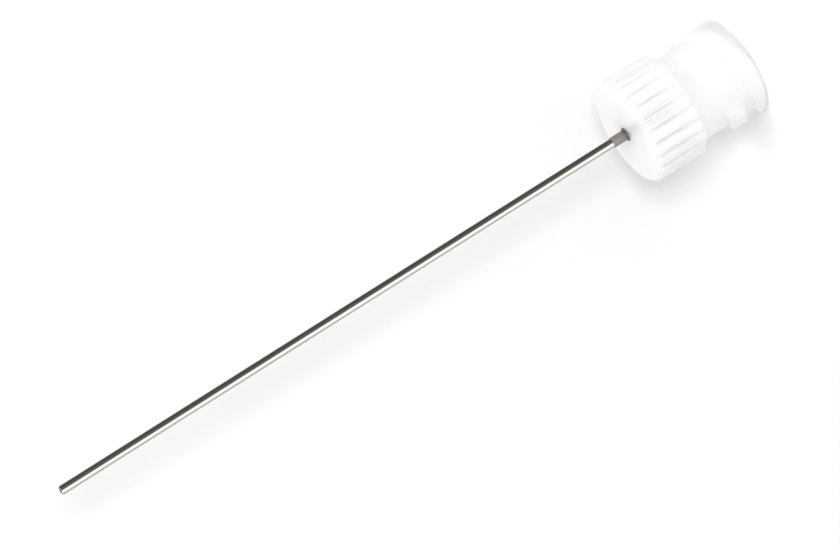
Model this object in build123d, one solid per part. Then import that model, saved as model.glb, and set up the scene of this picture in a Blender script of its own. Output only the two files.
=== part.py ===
from build123d import *
from math import atan2, cos, radians, sin, tan
import os

# Blunt steel needle with a moulded hub, at its real size in millimetres.
# It is drawn with the hub's front face at z = 0, the tip at -z and the mouth of the socket at +z.
# It is then turned over, the way it stands by itself: on the mouth of its hub, with the tip up.

# Tube, 22 gauge with a regular wall, cut square
tube_outer_diameter = 0.718
tube_bore_diameter = 0.413
tube_exposed_length = 48.8
tube_edge_break = 0.02

# Hub body
hub_length = 9.9
collar_diameter = 8.2
collar_length = 4.25
collar_front_round = 0.5
collar_back_break = 0.1
shoulder_length = 0.2
shoulder_foot_round = 0.12
neck_diameter = 6.8
neck_length = 2.4
mouth_edge_break = 0.1

# Flutes of the collar, deeper at the front so that they leave the mould
flute_count = 24
flute_front_depth = 0.28
flute_back_depth = 0.15
flute_floor_round = 0.1
flute_wall_angle = 30

# Lock thread, right-hand, its angles counted clockwise from +X, as seen from the tip
thread_starts = 2
thread_lead = 5.0
thread_crest_diameter = 7.8
thread_root_diameter = 6.84
thread_crest_width = 1.15
thread_flank_angle = 30
thread_crest_setback = 2.15
thread_setback_angle = 177
thread_runout_turn = 59
thread_runout_sink = 0.05
thread_mouth_chamfer = 0.28

# Socket, a 6 per cent taper on diameter
socket_mouth_diameter = 4.3
socket_taper = 0.06
socket_depth = 7.0
socket_floor_break = 0.2
socket_mouth_break = 0.1

# Adhesive between tube and hub, and the sleeve that it leaves in front of the hub, with a flared foot
bond_clearance = 0.045
sleeve_length = 1.25
sleeve_wall = 0.04
sleeve_edge_break = 0.025
sleeve_foot_flare = 0.14

# Cuts and joins run past the surface that they meet by this much
overrun = 0.2

tube_radius = tube_outer_diameter / 2
tube_bore_radius = tube_bore_diameter / 2
flute_pitch = 360 / flute_count
collar_radius = collar_diameter / 2
neck_radius = neck_diameter / 2
thread_crest_radius = thread_crest_diameter / 2
thread_root_radius = thread_root_diameter / 2
socket_mouth_radius = socket_mouth_diameter / 2
seat_radius = tube_radius + bond_clearance
seat_length = hub_length - socket_depth
socket_floor_radius = socket_mouth_radius - socket_depth * socket_taper / 2


def turned(*edges):
    """Revolves a closed outline, drawn as (radius, z) in the XZ plane, about the needle's axis."""
    return revolve(make_face(edges), Axis.Z)


def outline(*points):
    """Straight run through (radius, z) points in the XZ plane."""
    return Polyline(*[(radius, 0, z) for radius, z in points])


def corner(face, radius, z, fillet_radius):
    """Rounds the corner of a flat outline that lies nearest to (radius, z)."""
    vertex = face.vertices().sort_by_distance((radius, 0, z))[0]
    return fillet(vertex, fillet_radius)


def make_cannula():
    """Steel tube with a through bore, cut square, with a small break on both edges of its tip."""
    tip, end = -tube_exposed_length, seat_length
    inner, outer, edge = tube_bore_radius, tube_radius, tube_edge_break
    return turned(outline(
        (inner + edge, tip), (outer - edge, tip), (outer, tip + edge), (outer, end), (inner, end),
        (inner, tip + edge), (inner + edge, tip),
    ))


def hub_blank():
    """Solid body of the hub: collar, shoulder, neck and the root that the thread stands on."""
    shoulder_end = collar_length + shoulder_length
    root_start = shoulder_end + neck_length
    face = make_face(outline(
        (0, 0), (collar_radius, 0), (collar_radius, collar_length - collar_back_break),
        (collar_radius - collar_back_break, collar_length), (neck_radius, shoulder_end),
        (thread_root_radius, root_start), (thread_root_radius, hub_length - mouth_edge_break),
        (thread_root_radius - mouth_edge_break, hub_length), (0, hub_length), (0, 0),
    ))
    face = corner(face, collar_radius, 0, collar_front_round)
    face = corner(face, neck_radius, shoulder_end, shoulder_foot_round)
    return revolve(face, Axis.Z)


def make_flutes():
    """Cutters for the flutes, one every pitch round the collar, each leaning in towards the front."""
    wall = radians(flute_wall_angle)
    apex = flute_floor_round - flute_floor_round / sin(wall)
    lip = flute_front_depth + overrun
    half_lip = (lip - apex) * tan(wall)
    section = make_face(Polyline((apex, 0), (lip, half_lip), (lip, -half_lip), (apex, 0)))
    section = fillet(section.vertices().sort_by(Axis.X)[0], flute_floor_round)

    slope = atan2(flute_front_depth - flute_back_depth, collar_length)
    front = Plane(
        origin=(collar_radius - flute_front_depth - overrun * tan(slope), 0, -overrun),
        x_dir=(cos(slope), 0, -sin(slope)), z_dir=(sin(slope), 0, cos(slope)),
    )
    cutter = extrude(front * section, overrun + collar_length + shoulder_length)
    return [Rot(0, 0, (index + 0.5) * flute_pitch) * cutter for index in range(flute_count)]


def thread_ridge():
    """One start of the thread, from where it sinks into the root until the mouth cuts it off."""
    flank = tan(radians(thread_flank_angle))

    def half_width(radius):
        return thread_crest_width / 2 + (thread_crest_radius - radius) * flank

    inner = thread_root_radius - overrun
    outer = thread_crest_radius + overrun
    profile = make_face(outline(
        (inner, -half_width(inner)), (outer, -half_width(outer)), (outer, half_width(outer)),
        (inner, half_width(inner)), (inner, -half_width(inner)),
    ))
    rise = thread_lead * thread_runout_turn / 360
    length = rise + thread_crest_setback + half_width(inner)
    path = Helix(thread_lead, length, thread_root_radius)
    ridge = sweep(profile, path, is_frenet=True)
    ridge = Pos(0, 0, hub_length - thread_crest_setback - rise) * ridge

    crest = thread_crest_radius
    envelope = turned(outline(
        (0, collar_length), (crest, collar_length), (crest, hub_length - thread_mouth_chamfer),
        (crest - thread_mouth_chamfer, hub_length), (0, hub_length), (0, collar_length),
    ))
    runout_flat = thread_root_radius - thread_runout_sink
    runout = Pos(runout_flat + crest / 2, 0, hub_length / 2) * Box(crest, crest, hub_length)
    return Rot(0, 0, thread_setback_angle - thread_runout_turn) * ((ridge & envelope) - runout)


def make_hub():
    """One moulding: fluted collar, neck, lock thread, seat for the tube and tapered socket."""
    hub = hub_blank() - make_flutes()
    ridge = thread_ridge()
    hub += [Rot(0, 0, index * 360 / thread_starts) * ridge for index in range(thread_starts)]

    edge = socket_mouth_break
    floor_edge = socket_floor_break
    socket = turned(outline(
        (0, seat_length), (socket_floor_radius - floor_edge, seat_length),
        (socket_floor_radius + floor_edge * socket_taper / 2, seat_length + floor_edge),
        (socket_mouth_radius - edge * socket_taper / 2, hub_length - edge),
        (socket_mouth_radius + 2 * edge, hub_length + edge), (0, hub_length + edge),
        (0, seat_length),
    ))
    seat = Pos(0, 0, seat_length / 2) * Cylinder(seat_radius, seat_length + 2 * overrun)
    return hub - socket - seat


def make_adhesive():
    """Cured adhesive: it fills the seat round the tube and stands as a sleeve in front of the hub."""
    sleeve = tube_radius + sleeve_wall
    foot = seat_radius + sleeve_foot_flare
    return turned(outline(
        (tube_radius, -sleeve_length), (sleeve - sleeve_edge_break, -sleeve_length),
        (sleeve, sleeve_edge_break - sleeve_length), (sleeve, -sleeve_foot_flare), (foot, 0),
        (seat_radius, 0), (seat_radius, seat_length), (tube_radius, seat_length),
        (tube_radius, -sleeve_length),
    ))


os.makedirs("parts", exist_ok=True)
standing = Pos(0, 0, hub_length) * Rot(180, 0, 0)
pieces = {
    "cannula": make_cannula(),
    "hub": make_hub(),
    "adhesive_bond": make_adhesive(),
}
for name, piece in pieces.items():
    export_step((standing * piece).solid(), f"parts/{name}.step")
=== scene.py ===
"""Looks of a blunt medical needle: drawn steel tube, moulded natural plastic hub, cured adhesive.

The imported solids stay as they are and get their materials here. The needle stands on its hub on a
white table, in front of a white card. The camera has the photograph's view of it, turned on its
side.
"""

import logging
import math
from dataclasses import dataclass, field
from enum import Enum, IntEnum
from typing import Any, Optional

import bmesh
import bpy
from mathutils import Matrix, Vector

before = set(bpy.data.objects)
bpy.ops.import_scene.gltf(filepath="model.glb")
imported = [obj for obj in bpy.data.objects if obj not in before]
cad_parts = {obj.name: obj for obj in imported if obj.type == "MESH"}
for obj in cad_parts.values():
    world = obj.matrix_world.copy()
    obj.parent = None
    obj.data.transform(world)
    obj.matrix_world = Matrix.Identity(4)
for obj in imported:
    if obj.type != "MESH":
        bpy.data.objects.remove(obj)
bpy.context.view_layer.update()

MILLIMETRE = 0.001
WHITE = (1.0, 1.0, 1.0, 1.0)
# Multiplies a vector to drop its height
LEVEL = (1.0, 1.0, 0.0)
# Pixels across the photograph, and millimetres across the camera's sensor
PICTURE_WIDTH = 840
SENSOR_WIDTH = 36.0
# Setting of a Map Range node that changes its result softly
SOFT_CHANGE = {"interpolation_type": "SMOOTHSTEP"}

log = logging.getLogger("needle")

Setting = Any
Link = tuple[bpy.types.Node, str]
Direction = tuple[float, float, float]


class Piece(Enum):
    """The needle's separate pieces, by the names of their solids."""

    TUBE = "cannula"
    HUB = "hub"
    ADHESIVE = "adhesive_bond"


class MixSocket(IntEnum):
    """Inputs of a Mix node by place, because those of its several data types share their names."""

    SHARE = 0
    FIRST_NUMBER = 2
    SECOND_NUMBER = 3
    FIRST_COLOUR = 6
    SECOND_COLOUR = 7


def linear(code: str) -> tuple[float, float, float, float]:
    """Turns an sRGB colour into the linear values that a shader takes.

    Args:
        code: Six hex digits, without a hash sign.

    Returns:
        Red, green, blue and an alpha of one.
    """
    channels = [int(code[place:place + 2], 16) / 255 for place in (0, 2, 4)]
    bent = [c / 12.92 if c <= 0.04045 else ((c + 0.055) / 1.055) ** 2.4 for c in channels]
    return bent[0], bent[1], bent[2], 1.0


def add_node(
    tree: bpy.types.NodeTree,
    kind: str,
    settings: Optional[dict[str, Setting]] = None,
    inputs: Optional[dict[Any, Setting]] = None,
    links: Optional[dict[Any, Link]] = None,
) -> bpy.types.Node:
    """Adds one node with its settings, its socket values and its links.

    Args:
        tree: Node tree that takes the node.
        kind: Blender's name of the node's type.
        settings: Properties of the node itself.
        inputs: Values of its input sockets, by name or number.
        links: Input sockets that are fed, each by a node and the name of its output.

    Returns:
        The new node.
    """
    node = tree.nodes.new(kind)
    for name, value in (settings or {}).items():
        setattr(node, name, value)
    for socket, value in (inputs or {}).items():
        node.inputs[socket].default_value = value
    for socket, (source, output) in (links or {}).items():
        tree.links.new(source.outputs[output], node.inputs[socket])
    return node


def hub_front() -> float:
    """Gives the height of the hub's front face above the table, in metres."""
    return max(vertex.co.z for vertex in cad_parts[Piece.HUB.value].data.vertices)


def millimetre_place(tree: bpy.types.NodeTree) -> bpy.types.Node:
    """Adds nodes that give a surface point's place in millimetres.

    Args:
        tree: Node tree of the material.

    Returns:
        A Mapping node whose Vector has Z along the needle's axis, from the table to the tip.
    """
    place = add_node(tree, "ShaderNodeTexCoord")
    return add_node(
        tree, "ShaderNodeMapping", {"vector_type": "POINT"}, {"Scale": (1 / MILLIMETRE,) * 3},
        {"Vector": (place, "Object")},
    )


def axis_distance(tree: bpy.types.NodeTree, place: bpy.types.Node) -> bpy.types.Node:
    """Adds nodes that give a point's distance from the needle's axis.

    Args:
        tree: Node tree of the material.
        place: Mapping node of millimetre_place.

    Returns:
        A node whose Value is the distance in millimetres.
    """
    level = add_node(
        tree, "ShaderNodeVectorMath", {"operation": "MULTIPLY"}, {1: LEVEL},
        {0: (place, "Vector")},
    )
    return add_node(
        tree, "ShaderNodeVectorMath", {"operation": "LENGTH"}, None, {0: (level, "Vector")},
    )


def front_height(tree: bpy.types.NodeTree, place: bpy.types.Node) -> bpy.types.Node:
    """Adds nodes that give a point's height above the hub's front face.

    Args:
        tree: Node tree of the material.
        place: Mapping node of millimetre_place.

    Returns:
        A node whose Value is the height in millimetres, which is negative below that face.
    """
    height = add_node(tree, "ShaderNodeSeparateXYZ", None, None, {0: (place, "Vector")})
    return add_node(
        tree, "ShaderNodeMath", {"operation": "SUBTRACT"}, {1: hub_front() / MILLIMETRE},
        {0: (height, "Z")},
    )


def change(start: float, end: float, low: float = 0.0, high: float = 1.0) -> dict[str, float]:
    """Gives the inputs of a Map Range node that goes from one number to another.

    Args:
        start: Value at which the change starts.
        end: Value at which it is complete, above or below the start.
        low: Result up to the start.
        high: Result from the end on.

    Returns:
        The inputs by name, except for the value itself.
    """
    return {"From Min": start, "From Max": end, "To Min": low, "To Max": high}


def new_material(name: str) -> tuple[bpy.types.Material, bpy.types.NodeTree, bpy.types.Node]:
    """Makes an empty node material.

    Args:
        name: Name of the material.

    Returns:
        The material, its tree and its output node.
    """
    material = bpy.data.materials.new(name)
    material.use_nodes = True
    tree = material.node_tree
    tree.nodes.clear()
    output = add_node(tree, "ShaderNodeOutputMaterial")
    return material, tree, output


@dataclass(frozen=True)
class DrawnSteel:
    """Austenitic stainless tube, cold drawn and polished: fine lines along it, warm grey gloss.

    The sizes of the lines are in millimetres.
    """

    colour: str = "D6D4D0"
    dull_colour: str = "BAB6B0"
    roughness: float = 0.16
    line_spacing: float = 0.14
    line_length: float = 9.0
    line_height: float = 0.0003

    def build(self) -> bpy.types.Material:
        """Makes the material, with its drawing lines along the tube.

        Returns:
            The finished material.
        """
        material, tree, output = new_material("drawn_stainless_steel")
        place = millimetre_place(tree)
        # The die leaves lines of about 0.01 mm, drawn here as coarse as the picture can show
        squeeze = add_node(
            tree, "ShaderNodeVectorMath", {"operation": "MULTIPLY"},
            {1: (1 / self.line_spacing, 1 / self.line_spacing, 1 / self.line_length)},
            {0: (place, "Vector")},
        )
        lines = add_node(
            tree, "ShaderNodeTexNoise", None, {"Scale": 1.0, "Detail": 3.0, "Roughness": 0.55},
            {"Vector": (squeeze, "Vector")},
        )
        tone = add_node(
            tree, "ShaderNodeMix", {"data_type": "RGBA"},
            {
                MixSocket.FIRST_COLOUR: linear(self.dull_colour),
                MixSocket.SECOND_COLOUR: linear(self.colour),
            },
            {MixSocket.SHARE: (lines, "Fac")},
        )
        bump = add_node(
            tree, "ShaderNodeBump", None,
            {"Strength": 1.0, "Distance": self.line_height * MILLIMETRE},
            {"Height": (lines, "Fac")},
        )
        shader = add_node(
            tree, "ShaderNodeBsdfPrincipled", None,
            {"Metallic": 1.0, "Roughness": self.roughness},
            {"Base Color": (tone, "Result"), "Normal": (bump, "Normal")},
        )
        tree.links.new(shader.outputs["BSDF"], output.inputs["Surface"])
        return material


@dataclass(frozen=True)
class NaturalPlastic:
    """Unpigmented polypropylene, injection moulded: milky, light passes, satin skin.

    Lengths are in millimetres. Each pair is the start and the end of a change, by distance from
    the axis or, for the two ends of the painted shade in the flutes, by height above the hub's
    front face.
    """

    colour: str = "FDFDFD"
    # Painted shade in the floors of the flutes
    flute_shade_colour: str = "ECECEC"
    roughness: float = 0.3
    transmission: float = 0.24
    wet_transmission: float = 0.46
    wet_radius: tuple[float, float] = (1.6, 0.6)
    refraction: float = 1.49
    scatter_length: float = 1.2
    skin_grain: float = 0.35
    skin_height: float = 0.002
    flute_radius: tuple[float, float] = (4.085, 3.99)
    flute_front: tuple[float, float] = (-0.25, -0.6)
    flute_back: tuple[float, float] = (-4.2, -2.0)

    def flute_shade_mask(self, tree: bpy.types.NodeTree, place: bpy.types.Node) -> bpy.types.Node:
        """Adds nodes that find where the flutes get painted shade: their floors, strongest at their
        deep end.

        Args:
            tree: Node tree of the material.
            place: Mapping node of millimetre_place.

        Returns:
            A node whose Value runs from nought on the lands to one on the floors.
        """
        depth = add_node(
            tree, "ShaderNodeMapRange", SOFT_CHANGE, change(*self.flute_radius),
            {"Value": (axis_distance(tree, place), "Value")},
        )
        height = front_height(tree, place)
        front = add_node(
            tree, "ShaderNodeMapRange", SOFT_CHANGE, change(*self.flute_front),
            {"Value": (height, "Value")},
        )
        back = add_node(
            tree, "ShaderNodeMapRange", SOFT_CHANGE, change(*self.flute_back),
            {"Value": (height, "Value")},
        )
        part = add_node(
            tree, "ShaderNodeMath", {"operation": "MULTIPLY"}, None,
            {0: (depth, "Result"), 1: (front, "Result")},
        )
        return add_node(
            tree, "ShaderNodeMath", {"operation": "MULTIPLY"}, None,
            {0: (part, "Value"), 1: (back, "Result")},
        )

    def clearness(self, tree: bpy.types.NodeTree, place: bpy.types.Node) -> bpy.types.Node:
        """Adds nodes that give the share of light that passes the skin without scattering.

        Args:
            tree: Node tree of the material.
            place: Mapping node of millimetre_place.

        Returns:
            A node whose Result is that share.
        """
        # Adhesive that crept out wets the skin round the tube, which shows through it there
        skin = add_node(
            tree, "ShaderNodeMapRange", SOFT_CHANGE,
            change(*self.wet_radius, low=self.transmission, high=self.wet_transmission),
            {"Value": (axis_distance(tree, place), "Value")},
        )
        # Light that is already in the wall goes on through it, and scatters only where it enters
        side = add_node(tree, "ShaderNodeNewGeometry")
        return add_node(
            tree, "ShaderNodeMix", {"data_type": "FLOAT"}, {MixSocket.SECOND_NUMBER: 1.0},
            {MixSocket.SHARE: (side, "Backfacing"), MixSocket.FIRST_NUMBER: (skin, "Result")},
        )

    def build(self) -> bpy.types.Material:
        """Makes the material.

        Returns:
            The finished material.
        """
        material, tree, output = new_material("moulded_natural_polypropylene")
        place = millimetre_place(tree)
        # The mould leaves a grain of about 0.02 mm, drawn here as coarse as the picture can show
        grain = add_node(
            tree, "ShaderNodeTexNoise", None, {"Scale": 1 / self.skin_grain, "Detail": 2.0},
            {"Vector": (place, "Vector")},
        )
        bump = add_node(
            tree, "ShaderNodeBump", None,
            {"Strength": 1.0, "Distance": self.skin_height * MILLIMETRE},
            {"Height": (grain, "Fac")},
        )
        # Painted shade: the floors of the flutes are drawn a little greyer than the lands, most at
        # their deep end
        tone = add_node(
            tree, "ShaderNodeMix", {"data_type": "RGBA"},
            {
                MixSocket.FIRST_COLOUR: linear(self.colour),
                MixSocket.SECOND_COLOUR: linear(self.flute_shade_colour),
            },
            {MixSocket.SHARE: (self.flute_shade_mask(tree, place), "Value")},
        )
        shader = add_node(
            tree, "ShaderNodeBsdfPrincipled", {"subsurface_method": "RANDOM_WALK"},
            {
                "Roughness": self.roughness, "IOR": self.refraction,
                "Subsurface Weight": 1.0, "Subsurface Radius": (1.0, 1.0, 1.0),
                "Subsurface Scale": self.scatter_length * MILLIMETRE,
            },
            {
                "Base Color": (tone, "Result"), "Normal": (bump, "Normal"),
                "Transmission Weight": (self.clearness(tree, place), "Result"),
            },
        )
        tree.links.new(shader.outputs["BSDF"], output.inputs["Surface"])
        return material


@dataclass(frozen=True)
class CuredAdhesive:
    """Epoxy, cured in place: a thin warm grey film that the steel still shines through, uneven.

    Lengths are in millimetres. The painted shade at the foot fades in between a pair of heights
    above the hub's front face.
    """

    colour: str = "A39E97"
    dark_colour: str = "7F7A73"
    # Painted shade of the hub's bore
    bore_shade_colour: str = "252A33"
    # Painted shade where the film meets the hub's face
    foot_colour: str = "6E6B68"
    foot_shade_fade: tuple[float, float] = (0.32, 0.16)
    roughness: float = 0.5
    steel_share: float = 0.5
    lump: float = 0.22
    lump_height: float = 0.02

    def build(self) -> bpy.types.Material:
        """Makes the material.

        Returns:
            The finished material.
        """
        material, tree, output = new_material("cured_epoxy")
        place = millimetre_place(tree)
        lumps = add_node(
            tree, "ShaderNodeTexNoise", None, {"Scale": 1 / self.lump, "Detail": 4.0},
            {"Vector": (place, "Vector")},
        )
        tone = add_node(
            tree, "ShaderNodeMix", {"data_type": "RGBA"},
            {
                MixSocket.FIRST_COLOUR: linear(self.dark_colour),
                MixSocket.SECOND_COLOUR: linear(self.colour),
            },
            {MixSocket.SHARE: (lumps, "Fac")},
        )
        # Painted shade: the foot, where the film meets the hub's face, is drawn darker than the
        # sleeve
        height = front_height(tree, place)
        foot = add_node(
            tree, "ShaderNodeMapRange", SOFT_CHANGE, change(*self.foot_shade_fade),
            {"Value": (height, "Value")},
        )
        sleeve_and_foot_shade = add_node(
            tree, "ShaderNodeMix", {"data_type": "RGBA"},
            {MixSocket.SECOND_COLOUR: linear(self.foot_colour)},
            {MixSocket.SHARE: (foot, "Result"), MixSocket.FIRST_COLOUR: (tone, "Result")},
        )
        # Painted shade: inside the hub's bore the thin film is drawn near-black and bluish, for the
        # shade that falls there
        bore_shade_mask = add_node(
            tree, "ShaderNodeMath", {"operation": "LESS_THAN"}, {1: 0.0}, {0: (height, "Value")},
        )
        film_and_shade = add_node(
            tree, "ShaderNodeMix", {"data_type": "RGBA"},
            {MixSocket.SECOND_COLOUR: linear(self.bore_shade_colour)},
            {MixSocket.SHARE: (bore_shade_mask, "Value"), MixSocket.FIRST_COLOUR: (sleeve_and_foot_shade, "Result")},
        )
        bump = add_node(
            tree, "ShaderNodeBump", None,
            {"Strength": 1.0, "Distance": self.lump_height * MILLIMETRE},
            {"Height": (lumps, "Fac")},
        )
        shader = add_node(
            tree, "ShaderNodeBsdfPrincipled", None,
            {"Roughness": self.roughness, "Metallic": self.steel_share},
            {"Base Color": (film_and_shade, "Result"), "Normal": (bump, "Normal")},
        )
        tree.links.new(shader.outputs["BSDF"], output.inputs["Surface"])
        return material


@dataclass
class Needle:
    """The needle's solids and the finishes that they wear."""

    steel: DrawnSteel = field(default_factory=DrawnSteel)
    plastic: NaturalPlastic = field(default_factory=NaturalPlastic)
    adhesive: CuredAdhesive = field(default_factory=CuredAdhesive)

    def dress(self) -> None:
        """Gives each solid its material."""
        finishes = {Piece.TUBE: self.steel, Piece.HUB: self.plastic, Piece.ADHESIVE: self.adhesive}
        for piece, finish in finishes.items():
            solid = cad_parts[piece.value]
            solid.data.materials.clear()
            solid.data.materials.append(finish.build())
            log.info("dressed %s with %s", piece.value, solid.data.materials[0].name)


@dataclass(frozen=True)
class WhitePaper:
    """Graduated background paper: matte, whitest on the table, also lit from below and behind.

    The glow is the share of white light that comes through the sheet onto the needle. It isn't
    seen, neither directly nor through plastic, so that the sheet keeps its shadow. A card that
    stands in the way of other views is clear from behind. The grade is the pair of heights above
    the table, in millimetres, between which the foot's colour turns into the colour above it.
    """

    glow: float
    clear_from_behind: bool = False
    foot_colour: str = "F3F3F3"
    colour: str = "E7E7E7"
    grade: tuple[float, float] = (0.0, 1.5)

    def build(self) -> bpy.types.Material:
        """Makes the sheet's material.

        Returns:
            The finished material.
        """
        material, tree, output = new_material("white_paper")
        place = millimetre_place(tree)
        height = add_node(tree, "ShaderNodeSeparateXYZ", None, None, {0: (place, "Vector")})
        rise = add_node(
            tree, "ShaderNodeMapRange", SOFT_CHANGE, change(*self.grade),
            {"Value": (height, "Z")},
        )
        tone = add_node(
            tree, "ShaderNodeMix", {"data_type": "RGBA"},
            {
                MixSocket.FIRST_COLOUR: linear(self.foot_colour),
                MixSocket.SECOND_COLOUR: linear(self.colour),
            },
            {MixSocket.SHARE: (rise, "Result")},
        )
        card = add_node(tree, "ShaderNodeBsdfDiffuse", None, None, {"Color": (tone, "Result")})
        glow = add_node(tree, "ShaderNodeEmission", None, {"Color": WHITE, "Strength": 1.0})
        path = add_node(tree, "ShaderNodeLightPath")
        seen = add_node(
            tree, "ShaderNodeMath", {"operation": "MAXIMUM"}, None,
            {0: (path, "Is Camera Ray"), 1: (path, "Is Glossy Ray")},
        )
        seen_through = add_node(
            tree, "ShaderNodeMath", {"operation": "MAXIMUM"}, None,
            {0: (seen, "Value"), 1: (path, "Is Transmission Ray")},
        )
        share = add_node(
            tree, "ShaderNodeMix", {"data_type": "FLOAT"},
            {MixSocket.FIRST_NUMBER: self.glow, MixSocket.SECOND_NUMBER: 0.0},
            {MixSocket.SHARE: (seen_through, "Value")},
        )
        mix = add_node(
            tree, "ShaderNodeMixShader", None, None,
            {0: (share, "Result"), 1: (card, "BSDF"), 2: (glow, "Emission")},
        )
        if self.clear_from_behind:
            side = add_node(tree, "ShaderNodeNewGeometry")
            clear = add_node(tree, "ShaderNodeBsdfTransparent")
            mix = add_node(
                tree, "ShaderNodeMixShader", None, None,
                {0: (side, "Backfacing"), 1: (mix, "Shader"), 2: (clear, "BSDF")},
            )
        tree.links.new(mix.outputs["Shader"], output.inputs["Surface"])
        return material


@dataclass(frozen=True)
class BrightZone:
    """A bright upright band of the room.

    Its bearing is counted at the needle, in degrees from the camera round to the picture's lower
    right. Its light comes in from the outer to the inner angle, which are degrees away from that
    bearing, and its strength is a share of white.
    """

    bearing: float
    outer: float
    inner: float
    strength: float

    def toward(self, azimuth: float) -> Vector:
        """Gives the level direction from the needle to the middle of the zone.

        Args:
            azimuth: Azimuth of the camera in radians.

        Returns:
            A unit vector.
        """
        turn = azimuth - math.radians(self.bearing)
        return Vector((math.sin(turn), -math.cos(turn), 0.0))


@dataclass
class Studio:
    """White table, white card behind the needle, soft light and the camera of the photograph.

    Lengths are in metres, powers in watts, and lights of the room as shares of white. The camera
    is placed by its angles, by its distance from the middle of the hub's front face, and by that
    point's place in the picture, in pixels to the right of the picture's middle and below it.
    """

    table_size: float = 4.0
    card_width: float = 0.12
    card_height: float = 0.12
    card_gap: float = 0.008
    card_bend: float = 0.003
    card_bend_steps: int = 16
    paper_glow: float = 0.5
    ambient: float = 0.365
    dark_side: float = 0.1
    reflected_zones: tuple[BrightZone, ...] = (
        BrightZone(bearing=42.0, outer=44.0, inner=18.0, strength=1.85),
        BrightZone(bearing=120.0, outer=62.0, inner=50.0, strength=0.8),
        BrightZone(bearing=180.0, outer=70.0, inner=50.0, strength=1.0),
        BrightZone(bearing=-25.0, outer=32.0, inner=12.0, strength=0.17),
    )
    soft_zones: tuple[BrightZone, ...] = (
        BrightZone(bearing=-90.0, outer=85.0, inner=10.0, strength=0.78),
        BrightZone(bearing=90.0, outer=85.0, inner=10.0, strength=0.78),
    )
    lamp_distance: float = 0.9
    lamp_diameter: float = 0.34
    front_lamp_power: float = 3.4
    front_lamp_toward: Direction = (1.06, -4.5, 1.17)
    top_lamp_power: float = 2.75
    top_lamp_toward: Direction = (0.24, -0.42, 1.0)

    azimuth: float = math.radians(4.444)
    elevation: float = math.radians(15.639)
    roll: float = math.radians(-122.272)
    distance: float = 0.4005
    view_range: tuple[float, float] = (0.01, 10.0)
    focal_pixels: float = 5578.0
    hub_from_centre: tuple[float, float] = (205.77, -140.62)

    def add_sheet(self, name: str, shape: bmesh.types.BMesh, paper: WhitePaper) -> None:
        """Adds one sheet of the white surroundings.

        Args:
            name: Name of the sheet.
            shape: Its shape, in place, which is freed here.
            paper: Its finish.
        """
        mesh = bpy.data.meshes.new(name)
        for face in shape.faces:
            face.smooth = True
        shape.to_mesh(mesh)
        shape.free()
        mesh.materials.append(paper.build())
        sheet = bpy.data.objects.new(name, mesh)
        bpy.context.scene.collection.objects.link(sheet)
        sheet.visible_glossy = False

    def lay_table(self) -> None:
        """Lays the white table that the needle stands on."""
        shape = bmesh.new()
        bmesh.ops.create_grid(shape, x_segments=1, y_segments=1, size=self.table_size / 2)
        self.add_sheet("white_table", shape, WhitePaper(self.paper_glow))

    def stand_card(self) -> None:
        """Stands the card across the camera's view, behind the needle, its foot bent forward."""
        shape = bmesh.new()
        centre = Vector((0.0, self.card_gap - self.card_bend, self.card_bend))
        foot = shape.verts.new(centre - Vector((0.0, 0.0, self.card_bend)))
        turned = bmesh.ops.spin(
            shape, geom=[foot], cent=centre, axis=(1.0, 0.0, 0.0), angle=math.radians(90.0),
            steps=self.card_bend_steps,
        )
        rim = [item for item in turned["geom_last"] if isinstance(item, bmesh.types.BMVert)]
        raised = bmesh.ops.extrude_vert_indiv(shape, verts=rim)
        bmesh.ops.translate(shape, vec=(0.0, 0.0, self.card_height), verts=raised["verts"])
        bmesh.ops.translate(shape, vec=(-self.card_width / 2, 0.0, 0.0), verts=shape.verts)
        drawn = bmesh.ops.extrude_edge_only(shape, edges=shape.edges)
        across = [item for item in drawn["geom"] if isinstance(item, bmesh.types.BMVert)]
        bmesh.ops.translate(shape, vec=(self.card_width, 0.0, 0.0), verts=across)
        bmesh.ops.recalc_face_normals(shape, faces=shape.faces)
        if sum(face.normal.z for face in shape.faces) < 0.0:
            bmesh.ops.reverse_faces(shape, faces=shape.faces)
        turn = Matrix.Rotation(self.azimuth, 4, "Z")
        bmesh.ops.transform(shape, matrix=turn, verts=shape.verts)
        paper = WhitePaper(self.paper_glow, clear_from_behind=True)
        self.add_sheet("white_card", shape, paper)

    def add_zones(
        self, tree: bpy.types.NodeTree, outward: bpy.types.Node, floor: float,
        zones: tuple[BrightZone, ...],
    ) -> bpy.types.Node:
        """Adds nodes that give the room's light in a direction: the brightest zone there.

        Args:
            tree: Node tree of the world.
            outward: Node whose Vector is the level direction.
            floor: Light outside all the zones.
            zones: The bright zones.

        Returns:
            A node whose Value is the light.
        """
        light = add_node(tree, "ShaderNodeValue")
        light.outputs["Value"].default_value = floor
        for zone in zones:
            nearness = add_node(
                tree, "ShaderNodeVectorMath", {"operation": "DOT_PRODUCT"},
                {1: zone.toward(self.azimuth)}, {0: (outward, "Vector")},
            )
            outer, inner = (math.cos(math.radians(angle)) for angle in (zone.outer, zone.inner))
            glow = add_node(
                tree, "ShaderNodeMapRange", SOFT_CHANGE, change(outer, inner, high=zone.strength),
                {"Value": (nearness, "Value")},
            )
            light = add_node(
                tree, "ShaderNodeMath", {"operation": "MAXIMUM"}, None,
                {0: (light, "Value"), 1: (glow, "Result")},
            )
        return light

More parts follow.
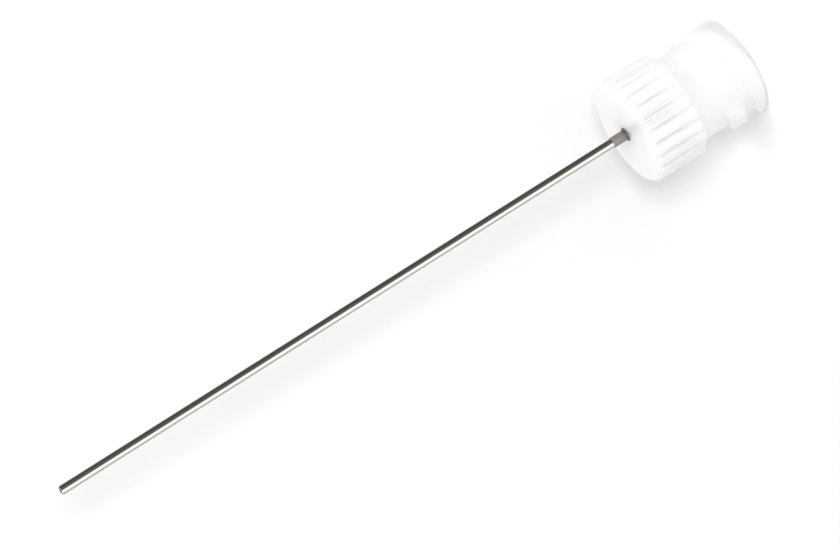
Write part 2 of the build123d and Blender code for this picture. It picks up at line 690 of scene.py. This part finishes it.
    def build_world(self) -> None:
        """Surrounds the table: pale for soft light, with a few bright zones in reflections."""
        world = bpy.data.worlds.new("studio_room")
        bpy.context.scene.world = world
        world.use_nodes = True
        tree = world.node_tree
        tree.nodes.clear()
        output = add_node(tree, "ShaderNodeOutputWorld")
        place = add_node(tree, "ShaderNodeTexCoord")
        level = add_node(
            tree, "ShaderNodeVectorMath", {"operation": "MULTIPLY"}, {1: LEVEL},
            {0: (place, "Generated")},
        )
        outward = add_node(
            tree, "ShaderNodeVectorMath", {"operation": "NORMALIZE"}, None, {0: (level, "Vector")},
        )
        path = add_node(tree, "ShaderNodeLightPath")
        soft = self.add_zones(tree, outward, self.ambient, self.soft_zones)
        reflected = self.add_zones(tree, outward, self.dark_side, self.reflected_zones)
        light = add_node(
            tree, "ShaderNodeMix", {"data_type": "FLOAT"}, None,
            {
                MixSocket.SHARE: (path, "Is Glossy Ray"), MixSocket.FIRST_NUMBER: (soft, "Value"),
                MixSocket.SECOND_NUMBER: (reflected, "Value"),
            },
        )
        # A ray through rough plastic counts as a glossy one too, so white wins over the zones
        white = add_node(
            tree, "ShaderNodeMath", {"operation": "MAXIMUM"}, None,
            {0: (path, "Is Camera Ray"), 1: (path, "Is Transmission Ray")},
        )
        seen = add_node(
            tree, "ShaderNodeMix", {"data_type": "FLOAT"}, {MixSocket.SECOND_NUMBER: 1.0},
            {MixSocket.SHARE: (white, "Value"), MixSocket.FIRST_NUMBER: (light, "Result")},
        )
        back = add_node(
            tree, "ShaderNodeBackground", None, {"Color": WHITE}, {"Strength": (seen, "Result")},
        )
        tree.links.new(back.outputs["Background"], output.inputs["Surface"])

    def hang_lamp(self, name: str, toward: Direction, power: float) -> None:
        """Hangs one round soft lamp that reflections don't show.

        Args:
            name: Name of the lamp.
            toward: Direction from the needle to the lamp.
            power: Power in watts.
        """
        light = bpy.data.lights.new(name, "AREA")
        light.shape = "DISK"
        light.size = self.lamp_diameter
        light.energy = power
        lamp = bpy.data.objects.new(name, light)
        bpy.context.scene.collection.objects.link(lamp)
        outward = Vector(toward).normalized()
        lamp.location = outward * self.lamp_distance
        lamp.rotation_euler = outward.to_track_quat("Z", "Y").to_euler()
        lamp.visible_glossy = False
        lamp.visible_transmission = False

    def build_lamps(self) -> None:
        """Hangs a low lamp, whose shadow the card takes, and a high one for the table."""
        self.hang_lamp("front_lamp", self.front_lamp_toward, self.front_lamp_power)
        self.hang_lamp("top_lamp", self.top_lamp_toward, self.top_lamp_power)

    def build_camera(self) -> None:
        """Stands the camera where the photograph was taken, with the same framing."""
        data = bpy.data.cameras.new("camera")
        data.sensor_width = SENSOR_WIDTH
        data.lens = self.focal_pixels / PICTURE_WIDTH * SENSOR_WIDTH
        data.clip_start, data.clip_end = self.view_range
        camera = bpy.data.objects.new("camera", data)
        bpy.context.scene.collection.objects.link(camera)
        bpy.context.scene.camera = camera

        level = Vector((math.cos(self.azimuth), math.sin(self.azimuth), 0.0))
        ahead = Vector((-math.sin(self.azimuth), math.cos(self.azimuth), 0.0))
        skyward = Vector((0.0, 0.0, 1.0))
        look = ahead * math.cos(self.elevation) - skyward * math.sin(self.elevation)
        top = ahead * math.sin(self.elevation) + skyward * math.cos(self.elevation)
        right = level * math.cos(self.roll) + top * math.sin(self.roll)
        up = top * math.cos(self.roll) - level * math.sin(self.roll)
        scale = self.distance / self.focal_pixels
        across, down = (offset * scale for offset in self.hub_from_centre)
        place = skyward * hub_front() - look * self.distance - right * across + up * down
        turn = Matrix((right, up, -look)).transposed().to_4x4()
        camera.matrix_world = Matrix.Translation(place) @ turn

    def build(self) -> None:
        """Builds the whole studio."""
        self.lay_table()
        self.stand_card()
        self.build_world()
        self.build_lamps()
        self.build_camera()
        bpy.context.scene.view_settings.view_transform = "Standard"
        log.info("studio ready")


def main() -> None:
    """Dresses the needle and builds the studio round it."""
    logging.basicConfig(level=logging.INFO, format="%(name)s: %(message)s")
    Needle().dress()
    Studio().build()


if __name__ == "__main__":
    main()
